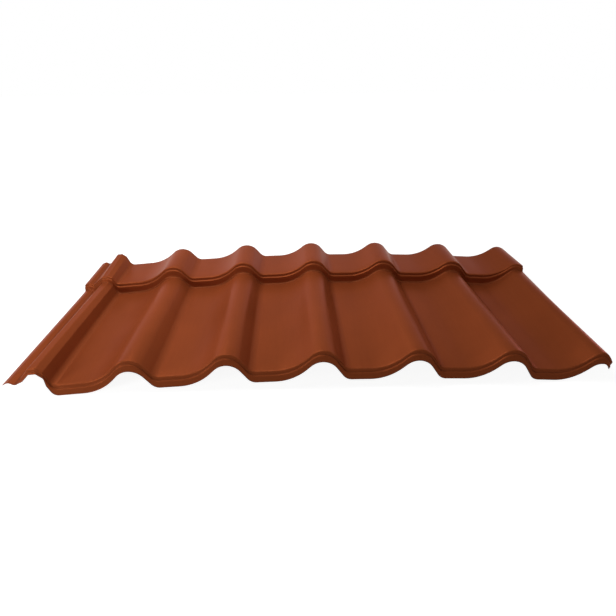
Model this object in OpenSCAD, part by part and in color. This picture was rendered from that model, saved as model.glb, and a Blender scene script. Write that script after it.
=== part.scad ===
// Pressed metal roofing sheet: one course of pantile waves, with the start of the next course above it.
// +X runs across the waves and +Y runs up the roof. The outer face of the sheet looks up, along +Z.
// The sheet is drawn as it lies on a level floor, with the origin under the middle of its outline.

/* [Sheet] */
// Thickness of the coated steel
sheet_t = 0.5; // [0.4:0.1:1.2]
// Number of waves between the first crest and the last
waves = 6; // [1:1:7]
// Rise of the middle of the sheet above its two outer crests
arch_h = 23; // [0:1:40]

/* [Waves] */
// Distance from one crest to the next
wave_pitch = 186; // [170:0.5:220]
// Distance from the first crest to the second, and from the last but one to the last
end_pitch = 178; // [170:0.5:220]
// Height of the crests above the pans, from the step up to the back edge
wave_h = 36; // [30:1:42]
// Height of the crests above the pans at the front fold
front_wave_h = 43.5; // [36:0.5:48]
// Radius of a crest
crest_r = 36; // [20:1:40]
// Slope of the steep side of a wave, in degrees
steep_angle = 50.5; // [42:0.5:56]
// Radius where the steep side runs into the pan
pan_r = 22; // [10:1:30]
// Slope of the gentle side of a wave, in degrees
gentle_angle = 38.5; // [32:0.5:41]
// Radius where the pan rises into the gentle side
rise_r = 99; // [80:1:118]

/* [Courses] */
// Length of the full course, from its front fold to the foot of the step
course_len = 395; // [250:5:450]
// Length of the upper course, from the fold of the step to the back edge
top_len = 132; // [60:1:250]
// Height of the step between the courses
step_h = 27; // [22:1:36]
// Height of the step on the two outer crests, where the next sheet laps over or under
side_step_h = 15; // [10:1:20]
// Height of the front edge that hangs from the full course
front_h = 22; // [20:1:30]

/* [Step] */
// Slope of the faces of the step and of the front edge, in degrees
face_angle = 84; // [75:1:90]
// Radius of the fold at the top of each face
fold_r = 3; // [2:0.5:5]
// Length of the upper face, from the fold to the ledge
upper_face = 4; // [3:0.5:6]
// Width of the ledge across each face
ledge_w = 2; // [1:0.5:4]
// Slope of the ledge, in degrees
ledge_angle = 30; // [10:1:45]
// Radius of the two bends of the ledge
ledge_r = 1.5; // [1:0.5:2]
// Radius at the foot of the step
foot_r = 5; // [3:0.5:7]
// Length of the kicked-out lip along the front edge
kick_len = 2; // [1:0.5:4]
// Angle by which that lip is kicked out, in degrees
kick_angle = 30; // [10:5:45]

/* [First crest] */
// Width of the flat top of the first crest
first_flat = 10; // [4:1:14]
// Radius of the bends of the first crest
first_r = 4; // [2:0.5:6]
// Length of the shoulder between the flat top and the side that falls to the pan
shoulder_len = 12; // [6:1:16]
// Slope of the shoulder, in degrees
shoulder_angle = 41; // [30:1:50]
// Slope of the side that falls to the pan, in degrees
first_angle = 68; // [60:1:72]
// Radius where that side runs into the pan
first_pan_r = 15; // [8:1:18]
// Length of the face left below the ledge, where the front edge is trimmed over the first crest
trim_face = 1.5; // [1:0.5:5]
// Where that trim ends, as a part of the straight side that falls to the pan
trim_end = 0.1; // [0.05:0.05:0.75]
// Width over which the front edge opens out flat, beside the first crest
open_w = 21; // [10:1:24]

/* [Side laps] */
// Slope of the side of the first crest that falls to the under-lap, in degrees
under_angle = 45; // [38:1:52]
// Extra width of the under-lap at the front
under_flare = 6; // [0:1:12]
// Distance by which the flat end of the under-lap reaches past the front fold
under_reach = 9; // [8:0.5:14]
// Height of the water channel above the pans
channel_h = 10.5; // [6:0.5:16]
// Radius of the bottom of the water channel
channel_r = 5; // [3:0.5:7]
// Height of the outer rib above the water channel
rib_h = 4.5; // [2.5:0.5:6]
// Width of the flat top of the outer rib
rib_w = 3; // [1:0.5:10]
// Radius of the bends of the outer rib
rib_r = 3; // [2:0.5:4]
// Slope of the inner side of the outer rib, in degrees
rib_angle = 32; // [25:1:60]
// Width of the down-turned outer edge
edge_w = 9; // [4:0.5:12]
// Slope of the down-turned outer edge, in degrees
edge_angle = 21; // [10:1:45]
// Width of the over-lap at the back edge, past the last crest
over_w = 16; // [15:1:30]
// Extra width of the over-lap at the front
over_flare = 8; // [0:1:12]
// Radius of the last crest
over_r = 27; // [20:1:40]
// Slope of the over-lap, in degrees
over_angle = 20; // [10:1:22]
// Height by which the outer edge of the over-lap hangs lower at the front fold than at the step
over_dip = 16; // [0:1:20]
// Part of the lower face that is trimmed away at the outer edge of the over-lap
over_trim = 0.8; // [0:0.05:0.85]
// Distance by which the lower corner of the front edge lies further in, at the outer edge of the over-lap
over_slant = 7; // [0:1:9]

/* [Hidden] */

// A path is a list of steps. Each step has a length, the angle it turns by, and its number of pieces.
function bend_step(radius, turn, pieces) = [radius * abs(turn) * PI / 180, turn, pieces];
function line_step(length) = [length, 0, 1];

// Straight length of one piece of a step
function piece_len(step) =
    let (half = step[1] / step[2] / 2)
    step[0] / step[2] * (abs(half) < 0.0001 ? 1 : sin(half) / (half * PI / 180));

// Points of a path that leaves the origin at the given heading
function walk(steps, heading) =
    let (pieces = [for (s = steps) for (k = [1:s[2]]) [piece_len(s), s[1] / s[2]]])
    [for (i = 0, p = [0, 0], a = heading; i <= len(pieces);
          p = i < len(pieces) ? p + pieces[i][0] * [cos(a + pieces[i][1] / 2), sin(a + pieces[i][1] / 2)] : p,
          a = i < len(pieces) ? a + pieces[i][1] : a,
          i = i + 1) p];

// Height gained by a bend of the given radius between two headings
function bend_rise(radius, from, to) = radius * abs(cos(from) - cos(to));
function reversed(list) = [for (i = [len(list) - 1:-1:0]) list[i]];
function unit(v) = v / norm(v);

// Smooth change from 0 at a to 1 at b
function ramp(x, a, b) = let (t = min(1, max(0, (x - a) / (b - a)))) t * t * (3 - 2 * t);

// Straight length and width of a side that drops by the given height between two bends.
// The radii of the two bends are given as their sum.
function side_len(drop, radii, slope) = (drop - bend_rise(radii, 0, slope)) / sin(slope);
function side_run(drop, radii, slope) = radii * sin(slope) + side_len(drop, radii, slope) * cos(slope);

// Right side and pitch of wave w. The last wave ends at the last crest.
function right_r(w) = w == waves ? over_r : crest_r;
function right_run(w) = side_run(wave_h, right_r(w) + rise_r, gentle_angle);
function pitch(w) = w == 1 || w == waves ? end_pitch : wave_pitch;

// Left side of the first wave: half of the flat top, the shoulder and the side that falls to the pan.
// That side is divided at both ends of the slanting end of the trim.
trim_slant = 0.2;
shoulder_drop = bend_rise(first_r, 0, first_angle) + shoulder_len * sin(shoulder_angle);
shoulder_x = first_flat / 2 + first_r * sin(first_angle) + shoulder_len * cos(shoulder_angle);
first_len = (wave_h - shoulder_drop - bend_rise(first_pan_r, 0, first_angle)) / sin(first_angle);
first_pan_x = shoulder_x + first_len * cos(first_angle) + first_pan_r * sin(first_angle);
first_steps = [
    line_step(first_flat / 2),
    bend_step(first_r, -shoulder_angle, 2),
    line_step(shoulder_len),
    bend_step(first_r, shoulder_angle - first_angle, 2),
    each [for (part = [trim_end, trim_slant, 1 - trim_end - trim_slant]) line_step(first_len * part)],
    bend_step(first_pan_r, first_angle, 4),
];

// Left side of every other wave
left_steps = [
    bend_step(crest_r, -steep_angle, 4),
    line_step(side_len(wave_h, crest_r + pan_r, steep_angle)),
    bend_step(pan_r, steep_angle, 3),
];
function left_run(w) = w == 1 ? first_pan_x : side_run(wave_h, crest_r + pan_r, steep_angle);

function wave_steps(w) = [
    each w == 1 ? first_steps : left_steps,
    line_step(pitch(w) - left_run(w) - right_run(w)),
    bend_step(rise_r, gentle_angle, 3),
    line_step(side_len(wave_h, right_r(w) + rise_r, gentle_angle)),
    bend_step(right_r(w), -gentle_angle, 3),
];
over_steps = [
    bend_step(over_r, -over_angle, 3),
    line_step((over_w - over_r * sin(over_angle)) / cos(over_angle)),
];

// Under-lap, from the middle of the first crest outwards
under_drop = wave_h - channel_h;
channel_x = first_flat / 2 + side_run(under_drop, first_r + channel_r, under_angle);
rib_x = channel_x + side_run(rib_h, channel_r + rib_r, rib_angle);
under_w = rib_x + rib_w + rib_r * sin(edge_angle) + edge_w * cos(edge_angle);

under_steps = [
    line_step(first_flat / 2),
    bend_step(first_r, -under_angle, 2),
    line_step(side_len(under_drop, first_r + channel_r, under_angle)),
    bend_step(channel_r, under_angle, 2),
    bend_step(channel_r, rib_angle, 1),
    line_step(side_len(rib_h, channel_r + rib_r, rib_angle)),
    bend_step(rib_r, -rib_angle, 1),
    line_step(rib_w),
    bend_step(rib_r, -edge_angle, 1),
    line_step(edge_w),
];

// Section across the sheet at the back edge, from its left edge to its right edge.
// The middle of the first crest is at X = 0 and the pans are at height 0.
under_side = walk(under_steps, 0);
wave_side = walk([for (w = [1:waves]) each wave_steps(w), each over_steps], 0);
section = concat(
    [for (p = reversed(under_side)) if (p[0] > 0) [-p[0], wave_h + p[1]]],
    [for (p = wave_side) [p[0], wave_h + p[1]]]
);
cover_w = wave_side[len(wave_side) - 5][0];

// The arch of the whole sheet falls away on both sides of its middle.
half_cover = cover_w / 2;
function arch(x) = -arch_h * pow((x - half_cover) / half_cover, 2);

// Faces of the step and of the front edge, from the fold downwards
ledge_turn = face_angle - ledge_angle;
ledge_rise = 2 * bend_rise(ledge_r, ledge_angle, face_angle) + ledge_w * sin(ledge_angle);
course_angle = asin(front_h / course_len);
fold_rise = bend_rise(fold_r, course_angle, face_angle);
upper_rise = upper_face * sin(face_angle);
foot_rise = bend_rise(foot_r, course_angle, face_angle);
kick_rise = kick_len * sin(face_angle - kick_angle);
step_face = (step_h - fold_rise - upper_rise - ledge_rise - foot_rise) / sin(face_angle);

// Lengths of the lower face and of the lip along the front edge
full_face = (front_h - fold_rise - upper_rise - ledge_rise - kick_rise) / sin(face_angle);
end_h = front_h - over_trim * full_face * sin(face_angle);
trim_x = shoulder_x + first_len * (trim_end + trim_slant / 2) * cos(first_angle);
function lower_face(x) =
    x < trim_x ? [trim_face / 2, trim_face / 2]
    : [full_face * (1 - over_trim * ramp(x, cover_w, cover_w + over_w)), kick_len];

// The front edge is fully bent down past open_x. It opens out flat, and short, over the under-lap.
open_x = open_w - channel_x;
fold_len = bend_step(fold_r, face_angle, 1)[0];
ledge_len = bend_step(ledge_r, ledge_turn, 1)[0];
trimmed_len = fold_len + upper_face + 2 * ledge_len + ledge_w + trim_face;
short_end = under_reach / trimmed_len;

// Front edge at one place across the sheet, from its lower end up to the course
function front_path(x) =
    let (
        bent = ramp(x, -channel_x, open_x),
        size = short_end + (1 - short_end) * bent,
        face = lower_face(x),
        down = walk([
            [fold_len * size, -(face_angle + course_angle) * bent, 3],
            line_step(upper_face * size),
            [ledge_len * size, ledge_turn * bent, 1],
            line_step(ledge_w * size),
            [ledge_len * size, -ledge_turn * bent, 1],
            line_step(face[0] * size),
            [face[1] * size, kick_angle * bent, 1],
        ], course_angle)
    )
    [for (p = reversed(down)) [-p[0], p[1]]];

// Full course, step and upper course, from the front fold to the back edge
back_path = walk([
    line_step(course_len),
    bend_step(foot_r, face_angle + course_angle, 3),
    line_step(step_face),
    bend_step(ledge_r, -ledge_turn, 1),
    line_step(ledge_w),
    bend_step(ledge_r, ledge_turn, 1),
    line_step(upper_face),
    bend_step(fold_r, -(face_angle + course_angle), 3),
    line_step(top_len),
], -course_angle);
foot = back_path[1];
fold = back_path[len(back_path) - 2];
back = back_path[len(back_path) - 1];
back_rows = [for (k = [1:len(back_path) - 1]) back_path[k]];

// Share of a drop of the upper course: none at the foot of the step, all at its fold, none at the back
function upper_share(p) =
    p == back ? 0 : p[0] < foot[0] ? 0 : min(1, (p[1] - foot[1]) / (fold[1] - foot[1]));
// Share of a rise of the full course: none at the front fold, all at the foot of the step
function course_share(p) =
    p[0] <= foot[0] ? max(0, p[0] / foot[0]) : 1 - upper_share(p);

// The step is lower on the outer crests. The upper course drops on the first crest, and the full
// course rises on the last crest. The under-lap does half of each.
side_cut = step_h - side_step_h;
last_pan_x = cover_w - right_run(waves);
function under_part(x) = 1 - ramp(x, -channel_x, 0);
function upper_drop(x) = side_cut * (1 - ramp(x, 0, first_pan_x)) * (1 - under_part(x) / 2);
function course_rise(x) = side_cut * (under_part(x) / 2 + ramp(x, last_pan_x, cover_w));

// The waves grow in height, and the over-lap bends down, from the step towards the front fold.
function front_share(p) = min(1, max(0, 1 - p[0] / foot[0]));
function wave_growth(p) = 1 + (front_wave_h / wave_h - 1) * front_share(p);
function over_drop(x) = over_dip * pow(max(0, x - cover_w) / over_w, 2);
// The two laps widen from the back edge towards the front. The end of the front edge slants inwards.
function widened(x, p) =
    let (front = 1 - p[0] / back[0], slant = p[0] < 0 ? -over_slant * p[1] / end_h : 0)
    x < 0 ? x * (1 + under_flare / under_w * front)
    : x > cover_w ? x + (x - cover_w) / over_w * (over_flare * front - slant) : x;

function outer_point(s, p) =
    let (
        z = s[1] * wave_growth(p) + arch(s[0]) + p[1],
        drop = upper_drop(s[0]) * upper_share(p) + over_drop(s[0]) * front_share(p)
    )
    [widened(s[0], p), p[0], z - drop + course_rise(s[0]) * course_share(p)];

// Outer face: one column of points for each point of the section
outer = [
    for (s = section)
    [for (p = concat(front_path(s[0]), back_rows)) outer_point(s, p)]
];
cols = len(outer);
rows = len(outer[0]);

// Direction of a line of points at one of them
function along(before, here, after) =
    before == here ? unit(after - here) : after == here ? unit(here - before)
    : unit(unit(here - before) + unit(after - here));
function normal_at(i, j) =
    let (
        p = outer[i][j],
        across = along(outer[max(0, i - 1)][j], p, outer[min(cols - 1, i + 1)][j]),
        up = along(outer[i][max(0, j - 1)], p, outer[i][min(rows - 1, j + 1)])
    )
    unit(cross(across, up));

outer_points = [for (i = [0:cols - 1]) for (j = [0:rows - 1]) outer[i][j]];
inner_points = [for (i = [0:cols - 1]) for (j = [0:rows - 1]) outer[i][j] - sheet_t * normal_at(i, j)];
points = concat(outer_points, inner_points);

function out_id(i, j) = i * rows + j;
function in_id(i, j) = (cols + i) * rows + j;
function quad(a, b, c, d) = [[a, b, c], [a, c, d]];

outer_faces = [
    for (i = [0:cols - 2]) for (j = [0:rows - 2])
    each quad(out_id(i, j), out_id(i, j + 1), out_id(i + 1, j + 1), out_id(i + 1, j))
];
inner_faces = [
    for (i = [0:cols - 2]) for (j = [0:rows - 2])
    each quad(in_id(i, j), in_id(i + 1, j), in_id(i + 1, j + 1), in_id(i, j + 1))
];
front_faces = [
    for (i = [0:cols - 2]) each quad(out_id(i, 0), out_id(i + 1, 0), in_id(i + 1, 0), in_id(i, 0))
];
back_faces = [
    for (i = [0:cols - 2])
    each quad(out_id(i + 1, rows - 1), out_id(i, rows - 1), in_id(i, rows - 1), in_id(i + 1, rows - 1))
];
left_faces = [
    for (j = [0:rows - 2]) each quad(out_id(0, j + 1), out_id(0, j), in_id(0, j), in_id(0, j + 1))
];
right_faces = [
    for (j = [0:rows - 2])
    each quad(out_id(cols - 1, j), out_id(cols - 1, j + 1), in_id(cols - 1, j + 1), in_id(cols - 1, j))
];

// The origin lies under the middle of the sheet's outline.
xs = [for (p = points) p[0]];
ys = [for (p = points) p[1]];
zs = [for (p = points) p[2]];
origin = [(min(xs) + max(xs)) / 2, (min(ys) + max(ys)) / 2, min(zs)];

module roofing_sheet() {
    color([0.56, 0.31, 0.21])
    translate(-origin)
    polyhedron(
        points = points,
        faces = concat(outer_faces, inner_faces, front_faces, back_faces, left_faces, right_faces),
        convexity = 20
    );
}

roofing_sheet();
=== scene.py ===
"""Looks of a pressed metal roofing sheet: one course of pantile waves and the start of the next course.

The sheet is drawn again here with fine bends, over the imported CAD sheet, which it replaces.
Lengths are in millimetres and angles in degrees, until mesh_from_grid() turns lengths into metres.
"""

import math

import bpy
import numpy as np
from mathutils import Euler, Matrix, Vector


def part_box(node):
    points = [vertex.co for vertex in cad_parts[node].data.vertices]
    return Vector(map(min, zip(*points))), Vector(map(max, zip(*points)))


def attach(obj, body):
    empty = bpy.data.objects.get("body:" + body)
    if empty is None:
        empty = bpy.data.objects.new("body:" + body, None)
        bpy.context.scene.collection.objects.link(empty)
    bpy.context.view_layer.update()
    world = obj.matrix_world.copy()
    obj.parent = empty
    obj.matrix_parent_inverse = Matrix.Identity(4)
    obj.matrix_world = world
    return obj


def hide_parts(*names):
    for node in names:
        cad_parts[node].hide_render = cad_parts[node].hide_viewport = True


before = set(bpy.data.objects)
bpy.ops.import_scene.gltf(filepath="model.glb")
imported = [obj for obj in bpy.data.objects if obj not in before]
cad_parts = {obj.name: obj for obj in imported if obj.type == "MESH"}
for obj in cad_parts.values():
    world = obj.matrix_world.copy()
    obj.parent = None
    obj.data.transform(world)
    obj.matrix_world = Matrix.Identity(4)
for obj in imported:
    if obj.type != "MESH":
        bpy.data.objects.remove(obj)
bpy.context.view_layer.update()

NODE = "roofing_sheet"
MM = 0.001

# ---------------------------------------------------------------- sizes of the sheet, in mm and degrees

SHEET_T = 0.5
WAVES = 6
# Height by which the outer crests lie lower than the middle of the sheet
ARCH_H = 23

# A wave goes from one crest steeply down to its pan, and then gently up to the next crest.
WAVE_PITCH, END_PITCH = 186, 178
WAVE_H, FRONT_WAVE_H = 36, 43.5
CREST_R, STEEP_ANGLE, PAN_R = 36, 50.5, 22
GENTLE_ANGLE, RISE_R = 38.5, 99

# Up the roof: the full course, the step, which is lower at the outer crests, and the next course's start
COURSE_LEN, TOP_LEN = 395, 132
STEP_H, SIDE_STEP_H, FRONT_H = 27, 15, 22

# The face of the step and of the front edge has a small ledge below its upper part.
FACE_ANGLE, FOLD_R, UPPER_FACE = 84, 3, 4
LEDGE_W, LEDGE_ANGLE, LEDGE_R = 2, 30, 1.5
FOOT_R = 5
KICK_LEN, KICK_ANGLE = 2, 30

# The first crest has a flat top and a shoulder. From its right side to the left end of the sheet, the
# front edge is trimmed short.
FIRST_FLAT, FIRST_R = 10, 4
SHOULDER_LEN, SHOULDER_ANGLE = 12, 41
FIRST_ANGLE, FIRST_PAN_R = 68, 15
TRIM_FACE, TRIM_END, TRIM_SLANT = 1.5, 0.1, 0.2
# Width over which the front edge turns down, from the channel on
OPEN_W = 21

# The under-lap on the left, with its channel, rib and edge
UNDER_ANGLE, UNDER_FLARE, UNDER_REACH = 45, 6, 9
CHANNEL_H, CHANNEL_R = 10.5, 5
RIB_H, RIB_W, RIB_R, RIB_ANGLE = 4.5, 3, 3, 32
EDGE_W, EDGE_ANGLE = 9, 21

# The over-lap on the right, past the last crest
OVER_W, OVER_FLARE, OVER_R, OVER_ANGLE = 16, 8, 27, 20
OVER_DIP, OVER_TRIM, OVER_SLANT = 16, 0.8, 7


def sin(a):
    return math.sin(math.radians(a))


def cos(a):
    return math.cos(math.radians(a))


# ---------------------------------------------------------------- paths made of tangent bends and lines


def bend(radius, turn, pieces):
    """A step of a path: its length, its turn and the number of its pieces."""
    return (radius * abs(turn) * math.pi / 180, turn, pieces)


def line(length, pieces=1):
    return (length, 0.0, pieces)


def walk(steps, heading):
    """Points of a path that leaves the origin at the given heading."""
    point, points = np.zeros(2), [np.zeros(2)]
    for length, turn, pieces in steps:
        half = turn / pieces / 2
        chord = length / pieces * (sin(half) / math.radians(half) if half else 1)
        for _ in range(pieces):
            point = point + chord * np.array([cos(heading + half), sin(heading + half)])
            heading += 2 * half
            points.append(point)
    return np.array(points)


def bend_rise(radius, start, end):
    """Height between the ends of a bend that turns from one slope to another."""
    return radius * abs(cos(start) - cos(end))


def side_len(drop, radii, slope):
    """Length of the straight part of a side that drops between two level bends."""
    return (drop - bend_rise(radii, 0, slope)) / sin(slope)


def side_run(drop, radii, slope):
    """Width of such a side, with its two bends."""
    return radii * sin(slope) + side_len(drop, radii, slope) * cos(slope)


def ramp(x, start, end):
    """0 before the start and 1 past the end, with a smooth rise between them."""
    t = np.clip((x - start) / (end - start), 0, 1)
    return t * t * (3 - 2 * t)


# ---------------------------------------------------------------- section across the sheet

# Pieces of each bend and of the long straight parts
FINE_CREST, FINE_PAN, FINE_RISE = 12, 10, 12
FINE_CHANNEL, FINE_SMALL = 8, 6
PAN_PIECES, SIDE_PIECES = 4, 2


def right_r(w):
    """Radius of the crest at the right end of a wave."""
    return OVER_R if w == WAVES else CREST_R


def pitch(w):
    return END_PITCH if w in (1, WAVES) else WAVE_PITCH


# The first crest: its shoulder, and its straight side down to the pan
SHOULDER_TURN = FIRST_ANGLE - SHOULDER_ANGLE
SHOULDER_DROP = bend_rise(FIRST_R, 0, FIRST_ANGLE) + SHOULDER_LEN * sin(SHOULDER_ANGLE)
FIRST_LEN = (WAVE_H - SHOULDER_DROP - bend_rise(FIRST_PAN_R, 0, FIRST_ANGLE)) / sin(FIRST_ANGLE)
SHOULDER_X = FIRST_FLAT / 2 + FIRST_R * sin(FIRST_ANGLE) + SHOULDER_LEN * cos(SHOULDER_ANGLE)
FIRST_PAN_X = SHOULDER_X + FIRST_LEN * cos(FIRST_ANGLE) + FIRST_PAN_R * sin(FIRST_ANGLE)


def left_steps(w):
    """The way down from a crest to the pan of a wave."""
    if w > 1:
        straight = side_len(WAVE_H, CREST_R + PAN_R, STEEP_ANGLE)
        return [bend(CREST_R, -STEEP_ANGLE, FINE_CREST), line(straight), bend(PAN_R, STEEP_ANGLE, FINE_PAN)]
    return [
        line(FIRST_FLAT / 2),
        bend(FIRST_R, -SHOULDER_ANGLE, FINE_SMALL),
        line(SHOULDER_LEN, SIDE_PIECES),
        bend(FIRST_R, -SHOULDER_TURN, FINE_SMALL),
        *[line(FIRST_LEN * part) for part in (TRIM_END, TRIM_SLANT, 1 - TRIM_END - TRIM_SLANT)],
        bend(FIRST_PAN_R, FIRST_ANGLE, FINE_PAN),
    ]


def left_run(w):
    """Width of the left side of a wave."""
    return FIRST_PAN_X if w == 1 else side_run(WAVE_H, CREST_R + PAN_R, STEEP_ANGLE)


def right_run(w):
    """Width of the right side of a wave."""
    return side_run(WAVE_H, right_r(w) + RISE_R, GENTLE_ANGLE)


def wave_steps(w):
    return left_steps(w) + [
        line(pitch(w) - left_run(w) - right_run(w), PAN_PIECES),
        bend(RISE_R, GENTLE_ANGLE, FINE_RISE),
        line(side_len(WAVE_H, right_r(w) + RISE_R, GENTLE_ANGLE), SIDE_PIECES),
        bend(right_r(w), -GENTLE_ANGLE, FINE_CREST),
    ]


UNDER_DROP = WAVE_H - CHANNEL_H
CHANNEL_X = FIRST_FLAT / 2 + side_run(UNDER_DROP, FIRST_R + CHANNEL_R, UNDER_ANGLE)
RIB_X = CHANNEL_X + side_run(RIB_H, CHANNEL_R + RIB_R, RIB_ANGLE)
UNDER_W = RIB_X + RIB_W + RIB_R * sin(EDGE_ANGLE) + EDGE_W * cos(EDGE_ANGLE)

under_side = walk(
    [
        line(FIRST_FLAT / 2),
        bend(FIRST_R, -UNDER_ANGLE, FINE_SMALL),
        line(side_len(UNDER_DROP, FIRST_R + CHANNEL_R, UNDER_ANGLE), SIDE_PIECES),
        bend(CHANNEL_R, UNDER_ANGLE, FINE_CHANNEL),
        bend(CHANNEL_R, RIB_ANGLE, FINE_SMALL),
        line(side_len(RIB_H, CHANNEL_R + RIB_R, RIB_ANGLE)),
        bend(RIB_R, -RIB_ANGLE, FINE_SMALL),
        line(RIB_W, SIDE_PIECES),
        bend(RIB_R, -EDGE_ANGLE, FINE_SMALL),
        line(EDGE_W),
    ],
    0,
)
over_steps = [
    bend(OVER_R, -OVER_ANGLE, FINE_CREST),
    line((OVER_W - OVER_R * sin(OVER_ANGLE)) / cos(OVER_ANGLE), SIDE_PIECES),
]
wave_side = walk([step for w in range(1, WAVES + 1) for step in wave_steps(w)] + over_steps, 0)
COVER_W = 2 * END_PITCH + (WAVES - 2) * WAVE_PITCH

section = np.concatenate([under_side[:0:-1] * [-1, 1], wave_side]) + [0, WAVE_H]


def arch(x):
    """Drop of the arched sheet towards its two sides."""
    half = COVER_W / 2
    return -ARCH_H * ((x - half) / half) ** 2


# ---------------------------------------------------------------- path up the roof

# Pieces of each part of the path, which has the same folds at the step and at the front edge
COURSE_PIECES, TOP_PIECES, FOOT_PIECES = 12, 6, 8
FOLD_PIECES, LEDGE_PIECES, UPPER_PIECES, FACE_PIECES, LIP_PIECES = 9, 4, 2, 3, 3

LEDGE_TURN = FACE_ANGLE - LEDGE_ANGLE
LEDGE_RISE = 2 * bend_rise(LEDGE_R, LEDGE_ANGLE, FACE_ANGLE) + LEDGE_W * sin(LEDGE_ANGLE)
COURSE_ANGLE = math.degrees(math.asin(FRONT_H / COURSE_LEN))
FACE_RISE = bend_rise(FOLD_R, COURSE_ANGLE, FACE_ANGLE) + UPPER_FACE * sin(FACE_ANGLE) + LEDGE_RISE
KICK_RISE = KICK_LEN * sin(FACE_ANGLE - KICK_ANGLE)
FOOT_RISE = bend_rise(FOOT_R, COURSE_ANGLE, FACE_ANGLE)
STEP_FACE = (STEP_H - FACE_RISE - FOOT_RISE) / sin(FACE_ANGLE)

TRIM_X = SHOULDER_X + FIRST_LEN * (TRIM_END + TRIM_SLANT / 2) * cos(FIRST_ANGLE)
FOLD_LEN = bend(FOLD_R, FACE_ANGLE, 1)[0]
LEDGE_LEN = bend(LEDGE_R, LEDGE_TURN, 1)[0]
FULL_FACE = (FRONT_H - FACE_RISE - KICK_RISE) / sin(FACE_ANGLE)
END_H = FRONT_H - OVER_TRIM * FULL_FACE * sin(FACE_ANGLE)
SHORT_END = UNDER_REACH / (FOLD_LEN + UPPER_FACE + 2 * LEDGE_LEN + LEDGE_W + TRIM_FACE)


def lower_face(x):
    """Lengths of the lower face and of the lip of the front edge, which is trimmed at both ends."""
    if x < TRIM_X:
        return TRIM_FACE / 2, TRIM_FACE / 2
    return FULL_FACE * (1 - OVER_TRIM * ramp(x, COVER_W, COVER_W + OVER_W)), KICK_LEN


def front_path(x):
    """The front edge at x, from its lower end up to the course."""
    bent = float(ramp(x, -CHANNEL_X, OPEN_W - CHANNEL_X))
    size = SHORT_END + (1 - SHORT_END) * bent
    face, lip = lower_face(x)
    down = walk(
        [
            (FOLD_LEN * size, -(FACE_ANGLE + COURSE_ANGLE) * bent, FOLD_PIECES),
            line(UPPER_FACE * size, UPPER_PIECES),
            (LEDGE_LEN * size, LEDGE_TURN * bent, LEDGE_PIECES),
            line(LEDGE_W * size),
            (LEDGE_LEN * size, -LEDGE_TURN * bent, LEDGE_PIECES),
            line(face * size, FACE_PIECES),
            (lip * size, KICK_ANGLE * bent, LIP_PIECES),
        ],
        COURSE_ANGLE,
    )
    return down[::-1] * [-1, 1]


back_path = walk(
    [
        line(COURSE_LEN, COURSE_PIECES),
        bend(FOOT_R, FACE_ANGLE + COURSE_ANGLE, FOOT_PIECES),
        line(STEP_FACE, FACE_PIECES),
        bend(LEDGE_R, -LEDGE_TURN, LEDGE_PIECES),
        line(LEDGE_W),
        bend(LEDGE_R, LEDGE_TURN, LEDGE_PIECES),
        line(UPPER_FACE, UPPER_PIECES),
        bend(FOLD_R, -(FACE_ANGLE + COURSE_ANGLE), FOLD_PIECES),
        line(TOP_LEN, TOP_PIECES),
    ],
    -COURSE_ANGLE,
)
foot = back_path[COURSE_PIECES]
fold = back_path[-1 - TOP_PIECES]
back = back_path[-1]


def shares(path):
    """How much of a drop of the upper course, and of a rise of the full course, each point takes."""
    y, z = path.T
    riser = np.clip((z - foot[1]) / (fold[1] - foot[1]), 0, 1)
    upper = np.where(y > fold[0], (back[0] - y) / (back[0] - fold[0]), riser)
    upper = np.where(y <= foot[0], 0, upper)
    course = np.where(y <= foot[0], np.clip(y / foot[0], 0, 1), np.where(y > fold[0], 0, 1 - riser))
    return upper, course


# Height by which the step is lower at the outer crests
SIDE_CUT = STEP_H - SIDE_STEP_H
LAST_PAN_X = COVER_W - side_run(WAVE_H, OVER_R + RISE_R, GENTLE_ANGLE)


def column(x, height):
    """Points of the outer face at one place across the sheet, from the front edge to the back edge."""
    path = np.concatenate([front_path(x), back_path[1:]])
    y, z = path.T
    under = 1 - ramp(x, -CHANNEL_X, 0)
    drop = SIDE_CUT * (1 - ramp(x, 0, FIRST_PAN_X)) * (1 - under / 2)
    rise = SIDE_CUT * (under / 2 + ramp(x, LAST_PAN_X, COVER_W))
    upper, course = shares(path)
    front = np.clip(1 - y / foot[0], 0, 1)
    growth = 1 + (FRONT_WAVE_H / WAVE_H - 1) * front
    over = max(0, x - COVER_W) / OVER_W
    level = height * growth + arch(x) + z - drop * upper - OVER_DIP * over**2 * front + rise * course
    wider = 1 - y / back[0]
    slant = np.where(y < 0, -OVER_SLANT * z / END_H, 0)
    wide = x * (1 + UNDER_FLARE / UNDER_W * wider) if x < 0 else x + over * (OVER_FLARE * wider - slant)
    return np.stack([wide, y, level], 1)


# ---------------------------------------------------------------- mesh


def unit(v):
    """The same directions with a length of 1."""
    return v / np.linalg.norm(v, axis=-1, keepdims=True)


def along(grid, axis):
    """Direction of the lines of points of a grid, at each point."""
    lines = np.moveaxis(grid, axis, 0)
    gaps = unit(np.diff(lines, axis=0))
    both = unit(np.concatenate([gaps[:1], unit(gaps[:-1] + gaps[1:]), gaps[-1:]]))
    return np.moveaxis(both, 0, axis)


# Order of the materials: outer face, underside, cut edge
CUT_EDGE_SLOT = 2


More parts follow.
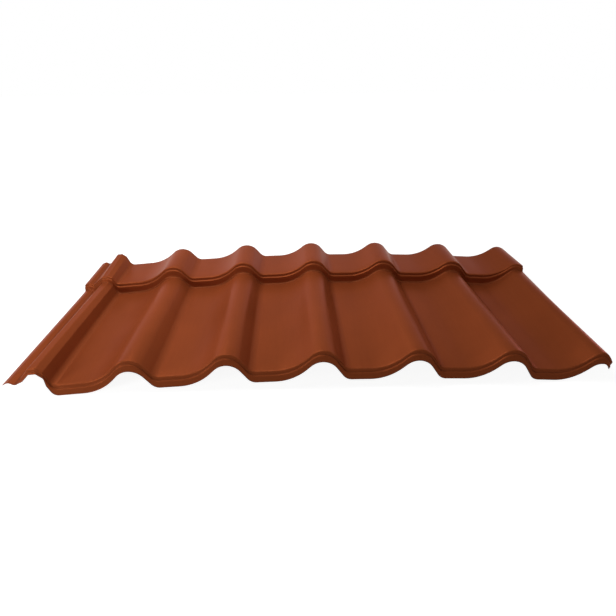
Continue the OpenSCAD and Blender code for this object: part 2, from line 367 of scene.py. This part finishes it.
def mesh_from_grid(name, outer, inner):
    """A closed mesh of an outer face, an underside and a rim of cut edges, with sharp edges round the rim."""
    cols, rows = outer.shape[:2]
    top = np.arange(cols * rows).reshape(cols, rows)
    low = top + cols * rows
    quads = [
        np.stack([top[:-1, :-1], top[1:, :-1], top[1:, 1:], top[:-1, 1:]], -1).reshape(-1, 4),
        np.stack([low[:-1, :-1], low[:-1, 1:], low[1:, 1:], low[1:, :-1]], -1).reshape(-1, 4),
        np.stack([top[1:, 0], top[:-1, 0], low[:-1, 0], low[1:, 0]], -1),
        np.stack([top[:-1, -1], top[1:, -1], low[1:, -1], low[:-1, -1]], -1),
        np.stack([top[0, :-1], top[0, 1:], low[0, 1:], low[0, :-1]], -1),
        np.stack([top[-1, 1:], top[-1, :-1], low[-1, :-1], low[-1, 1:]], -1),
    ]
    slots = np.concatenate([np.full(len(q), min(k, CUT_EDGE_SLOT)) for k, q in enumerate(quads)])
    points = np.concatenate([outer.reshape(-1, 3), inner.reshape(-1, 3)]) * MM
    mesh = bpy.data.meshes.new(name)
    mesh.from_pydata(points.tolist(), [], np.concatenate(quads).tolist())
    mesh.polygons.foreach_set("material_index", slots.astype(np.int32))
    mesh.shade_smooth()
    rim = np.zeros(len(points), bool)
    for line_ids in (top[0], top[-1], top[:, 0], top[:, -1], low[0], low[-1], low[:, 0], low[:, -1]):
        rim[line_ids] = True
    ends = np.zeros(len(mesh.edges) * 2, np.int32)
    mesh.edges.foreach_get("vertices", ends)
    ends = ends.reshape(-1, 2)
    sharp = mesh.attributes.new("sharp_edge", "BOOLEAN", "EDGE")
    sharp.data.foreach_set("value", rim[ends[:, 0]] & rim[ends[:, 1]])
    return mesh


def point_values(mesh, name, values):
    """Stores the same value for both faces at each point of the grid."""
    attribute = mesh.attributes.new(name, "FLOAT", "POINT")
    attribute.data.foreach_set("value", np.concatenate([values.ravel()] * 2).astype(np.float32))


def curvature(grid, axis):
    """Turn per millimetre along one set of lines of the grid, positive where the outer face bulges."""
    lines = np.moveaxis(grid, axis, 0)
    gaps = np.diff(lines, axis=0)
    turns = np.diff(unit(gaps), axis=0)
    lengths = np.linalg.norm(gaps, axis=-1)
    normal = unit(np.cross(along(grid, 0), along(grid, 1)))
    normals = np.moveaxis(normal, axis, 0)[1:-1]
    inside = -(turns * normals).sum(-1) / ((lengths[:-1] + lengths[1:]) / 2)
    full = np.concatenate([inside[:1], inside, inside[-1:]])
    return np.moveaxis(full, 0, axis)


outer = np.array([column(x, height) for x, height in section])
inner = outer - SHEET_T * unit(np.cross(along(outer, 0), along(outer, 1)))
mesh = mesh_from_grid("pressed_sheet", outer, inner)
bent = curvature(outer, 0) + curvature(outer, 1)
point_values(mesh, "fold", np.clip(bent * FOLD_R, 0, 1))
# Concave bends, where the paint is darkened with dust and painted shade
point_values(mesh, "hollow", np.clip(-bent * FOOT_R, 0, 1))
sheet = bpy.data.objects.new("pressed_sheet", mesh)
bpy.context.scene.collection.objects.link(sheet)

# The sheet is laid over the CAD sheet. Its finer bends differ in size by less than 0.1 mm.
low, high = (np.array(corner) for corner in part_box(NODE))
coords = np.array([v.co for v in mesh.vertices])
own_low, own_high = coords.min(0), coords.max(0)
coords = low + (coords - own_low) * (high - low) / (own_high - own_low)
mesh.vertices.foreach_set("co", coords.astype(np.float32).ravel())
mesh.update()

# ---------------------------------------------------------------- materials


class Tree:
    """The node tree of a material or a world. What adds a node returns one of its outputs."""

    def __init__(self, owner):
        owner.use_nodes = True
        self.nodes, self.links = owner.node_tree.nodes, owner.node_tree.links

    def feed(self, node, inputs):
        """Links the inputs of a node to outputs, or sets them. Colours are given without their alpha."""
        for key, value in inputs.items():
            socket = node.inputs[key]
            if isinstance(value, bpy.types.NodeSocket):
                self.links.new(value, socket)
            elif socket.type == "RGBA":
                socket.default_value = (*value, 1)
            else:
                socket.default_value = value

    def add(self, kind, inputs, output=0, **settings):
        node = self.nodes.new("ShaderNode" + kind)
        for name, value in settings.items():
            setattr(node, name, value)
        self.feed(node, inputs)
        return node.outputs[output]

    def place(self):
        return self.add("TexCoord", {}, "Object")

    def attribute(self, name):
        return self.add("Attribute", {}, "Fac", attribute_name=name)

    def stretched(self, vector, scale):
        return self.add("Mapping", {"Vector": vector, "Scale": scale})

    def noise(self, vector, scale=1.0, detail=3.0, roughness=0.55):
        inputs = {"Vector": vector, "Scale": scale, "Detail": detail, "Roughness": roughness}
        return self.add("TexNoise", inputs, "Fac")

    def levels(self, value, from_low, from_high, to_low, to_high):
        return self.add("MapRange", {0: value, 1: from_low, 2: from_high, 3: to_low, 4: to_high})

    def maths(self, operation, a, b):
        return self.add("Math", {0: a, 1: b}, operation=operation)

    def blend(self, a, b, share):
        """Sum of a and b, with this share of a."""
        return self.maths("ADD", self.maths("MULTIPLY", a, share), self.maths("MULTIPLY", b, 1 - share))

    def mixed(self, factor, a, b):
        return self.add("Mix", {"Factor": factor, "A": a, "B": b}, "Result", data_type="RGBA")

    def bumped(self, height, strength, distance, **normal):
        return self.add("Bump", {"Height": height, "Strength": strength, "Distance": distance, **normal})


def material(name):
    made = bpy.data.materials.new(name)
    tree = Tree(made)
    return made, tree, tree.nodes["Principled BSDF"]


# Noises are (scale per metre, detail, roughness). Levels are (low in, high in, low out, high out).
# Bumps are (strength, height in metres). The drawn marks are noise that is stretched along the sheet.
GRAIN_BUMP = (0.3, 0.00004)
DRAWN_BUMP = (0.25, 0.00006)

PAINT = (0.250, 0.0540, 0.0160)
PAINT_DEEP = (0.215, 0.0465, 0.0138)
PAINT_WORN = (0.265, 0.062, 0.022)
# Dark brown of the dust and painted shade in the concave bends, also the smeared paint of the cut edge
PAINT_DUST_AND_SHADE = (0.135, 0.036, 0.014)
PAINT_SHEEN = (1.0, 0.36, 0.20)
PAINT_METALLIC, PAINT_SPECULAR = 0.2, 0.02
PAINT_CLOUDS = (7.0, 4.0)
PAINT_GRAIN = (950.0, 2.0, 0.7)
PAINT_DRAWN = (240.0, 5.0, 240.0)
PAINT_SPECKS = (320.0, 2.0)
PAINT_CLOUD_SHARE = 0.75
PAINT_TONE = (0.3, 0.7, 0.0, 1.0)
PAINT_ROUGHNESS = (0.3, 0.7, 0.29, 0.35)
GRAIN_ROUGHNESS = 0.05
WAVINESS, WAVINESS_BUMP = (9.0, 0.0), (0.5, 0.0012)
FOLD_WEAR = (0.25, 1.0, 0.0, 1.0)
SPECK_WEAR = (0.45, 0.62, 0.15, 0.55)
# Masks of the dust and painted shade: the concave bends, broken into cloudy patches
HOLLOW_DUST_AND_SHADE = (0.1, 1.0, 0.0, 0.7)
CLOUD_DUST_AND_SHADE = (0.3, 0.7, 0.5, 1.0)


def painted_steel():
    """Slightly wavy, finely grained paint, worn on the folds, with dust and painted shade in the hollows."""
    made, tree, shader = material("painted_steel")
    place = tree.place()
    clouds = tree.noise(place, *PAINT_CLOUDS)
    waviness = tree.noise(place, *WAVINESS)
    grain = tree.noise(place, *PAINT_GRAIN)
    drawn = tree.noise(tree.stretched(place, PAINT_DRAWN))
    specks = tree.noise(place, *PAINT_SPECKS)

    tone = tree.levels(tree.blend(clouds, drawn, PAINT_CLOUD_SHARE), *PAINT_TONE)
    colour = tree.mixed(tone, PAINT_DEEP, PAINT)
    on_folds = tree.levels(tree.attribute("fold"), *FOLD_WEAR)
    worn = tree.maths("MULTIPLY", on_folds, tree.levels(specks, *SPECK_WEAR))
    colour = tree.mixed(worn, colour, PAINT_WORN)
    # Dust and painted shade darken the paint in the concave bends, in cloudy patches.
    in_hollows = tree.levels(tree.attribute("hollow"), *HOLLOW_DUST_AND_SHADE)
    dust_and_shade = tree.maths("MULTIPLY", in_hollows, tree.levels(clouds, *CLOUD_DUST_AND_SHADE))
    colour = tree.mixed(dust_and_shade, colour, PAINT_DUST_AND_SHADE)

    rough = tree.levels(clouds, *PAINT_ROUGHNESS)
    rough = tree.maths("ADD", rough, tree.maths("MULTIPLY", grain, GRAIN_ROUGHNESS))
    normal = tree.bumped(waviness, *WAVINESS_BUMP)
    normal = tree.bumped(drawn, *DRAWN_BUMP, Normal=normal)
    normal = tree.bumped(grain, *GRAIN_BUMP, Normal=normal)
    finish = {"Metallic": PAINT_METALLIC, "Specular IOR Level": PAINT_SPECULAR, "Specular Tint": PAINT_SHEEN}
    tree.feed(shader, {"Base Color": colour, "Roughness": rough, "Normal": normal, **finish})
    return made


BACK_COAT = (0.33, 0.31, 0.28)
BACK_COAT_DEEP = (0.27, 0.255, 0.235)
BACK_CLOUDS = (9.0, 4.0)
BACK_GRAIN = (800.0, 2.0, 0.7)
BACK_DRAWN = (200.0, 4.0, 200.0)
BACK_CLOUD_SHARE = 0.5
BACK_TONE = (0.35, 0.65, 0.0, 1.0)
BACK_ROUGHNESS = (0.3, 0.7, 0.48, 0.6)


def back_coat():
    """The thin plain coat of the underside."""
    made, tree, shader = material("back_coat")
    place = tree.place()
    clouds = tree.noise(place, *BACK_CLOUDS)
    drawn = tree.noise(tree.stretched(place, BACK_DRAWN))
    grain = tree.noise(place, *BACK_GRAIN)
    tone = tree.levels(tree.blend(clouds, drawn, BACK_CLOUD_SHARE), *BACK_TONE)
    colour = tree.mixed(tone, BACK_COAT_DEEP, BACK_COAT)
    normal = tree.bumped(grain, *GRAIN_BUMP, Normal=tree.bumped(drawn, *DRAWN_BUMP))
    rough = tree.levels(drawn, *BACK_ROUGHNESS)
    tree.feed(shader, {"Base Color": colour, "Roughness": rough, "Normal": normal})
    return made


STEEL = (0.42, 0.42, 0.41)
EDGE_METALLIC = 0.5
EDGE_MARKS = 600.0
EDGE_TONE = (0.4, 0.6, 0.0, 1.0)
EDGE_ROUGHNESS = (0.3, 0.7, 0.35, 0.6)
EDGE_BUMP = (0.3, 0.00005)


def cut_edge():
    """The sheared edge, where bare steel and smeared paint take turns."""
    made, tree, shader = material("cut_edge")
    marks = tree.noise(tree.place(), EDGE_MARKS)
    # The smeared paint has the dark brown of the dust and painted shade in the hollows.
    colour = tree.mixed(tree.levels(marks, *EDGE_TONE), PAINT_DUST_AND_SHADE, STEEL)
    normal = tree.bumped(marks, *EDGE_BUMP)
    rough = tree.levels(marks, *EDGE_ROUGHNESS)
    finish = {"Metallic": EDGE_METALLIC, "Roughness": rough, "Normal": normal}
    tree.feed(shader, {"Base Color": colour, **finish})
    return made


for made in (painted_steel(), back_coat(), cut_edge()):
    mesh.materials.append(made)

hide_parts(NODE)
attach(sheet, "root")

# ---------------------------------------------------------------- floor, background, light and camera

WHITE = (1.0, 1.0, 1.0)
WORLD_LIGHT = 0.07
FLOOR_SIZE = 9.0
FLOOR_COLOUR = (0.45, 0.45, 0.45)
# The floor's own white starts below 1 round the sheet, where the lamps light it, and rises to 1 between
# these two distances in metres.
FLOOR_GLOW = 0.90
GLOW_RISES = (0.8, 2.0)
# Name, place, the point it faces, size in metres, and power in watts
PANELS = (
    ("over_left", (-0.42, 0.1, 0.9), (-0.25, 0.0, 0.0), (0.9, 0.9), 9.8),
    ("low_back", (0.0, 2.5, 0.25), (0.0, 0.0, 0.1), (6.0, 0.5), 2.5),
    ("low_right", (1.6, 0.6, 0.35), (-0.3, 0.0, 0.03), (0.6, 0.4), 3.5),
    ("front_left", (-0.95, -0.75, 0.2), (-0.4, -0.3, 0.03), (0.25, 0.25), 3),
    ("front", (0.0, -2.2, 1.8), (0.0, 0.0, 0.0), (6.0, 0.9), 2.2),
)


def seen(tree):
    """1 for rays that see the background, straight or in a reflection, and 0 for rays that gather light."""
    path = tree.nodes.new("ShaderNodeLightPath").outputs
    straight_or_glossy = tree.maths("MAXIMUM", path["Is Camera Ray"], path["Is Glossy Ray"])
    return tree.maths("MAXIMUM", straight_or_glossy, path["Is Transmission Ray"])


def white_floor():
    half = FLOOR_SIZE / 2
    mesh = bpy.data.meshes.new("floor")
    corners = [(-half, -half, 0), (half, -half, 0), (half, half, 0), (-half, half, 0)]
    mesh.from_pydata(corners, [], [(0, 1, 2, 3)])
    made = bpy.data.materials.new("floor")
    tree = Tree(made)
    tree.nodes.clear()
    distance = tree.add("VectorMath", {0: tree.place()}, "Value", operation="LENGTH")
    strength = tree.maths("MULTIPLY", seen(tree), tree.levels(distance, *GLOW_RISES, FLOOR_GLOW, 1.0))
    diffuse = tree.add("BsdfDiffuse", {"Color": FLOOR_COLOUR})
    both = tree.add("AddShader", {0: diffuse, 1: tree.add("Emission", {"Strength": strength})})
    tree.feed(tree.nodes.new("ShaderNodeOutputMaterial"), {"Surface": both})
    mesh.materials.append(made)
    floor = bpy.data.objects.new("floor", mesh)
    bpy.context.scene.collection.objects.link(floor)


def white_world():
    world = bpy.data.worlds.new("studio")
    bpy.context.scene.world = world
    tree = Tree(world)
    strength = tree.levels(seen(tree), 0.0, 1.0, WORLD_LIGHT, 1.0)
    tree.feed(tree.nodes["Background"], {"Color": WHITE, "Strength": strength})


def panel(name, position, target, size, power):
    data = bpy.data.lights.new(name, "AREA")
    data.shape = "RECTANGLE"
    data.size, data.size_y = size
    data.energy = power
    made = bpy.data.objects.new(name, data)
    made.location = position
    made.rotation_mode = "QUATERNION"
    made.rotation_quaternion = (Vector(target) - Vector(position)).to_track_quat("-Z", "Y")
    bpy.context.scene.collection.objects.link(made)


CAMERA_PLACE = Vector((-0.03326, -0.98721, 0.61059))
CAMERA_TURN = (59.193, 0.299, -2.128)
SENSOR_MM, LENS_MM = 36.0, 27.465
CLIP_START, CLIP_END = 0.01, 100


def photo_camera():
    data = bpy.data.cameras.new("camera")
    data.sensor_width, data.lens = SENSOR_MM, LENS_MM
    data.clip_start, data.clip_end = CLIP_START, CLIP_END
    camera = bpy.data.objects.new("camera", data)
    camera.location = CAMERA_PLACE
    camera.rotation_euler = Euler([math.radians(a) for a in CAMERA_TURN])
    bpy.context.scene.collection.objects.link(camera)
    bpy.context.scene.camera = camera


white_floor()
white_world()
for light in PANELS:
    panel(*light)
photo_camera()
bpy.context.scene.view_settings.view_transform = "Standard"

bpy.context.view_layer.update()
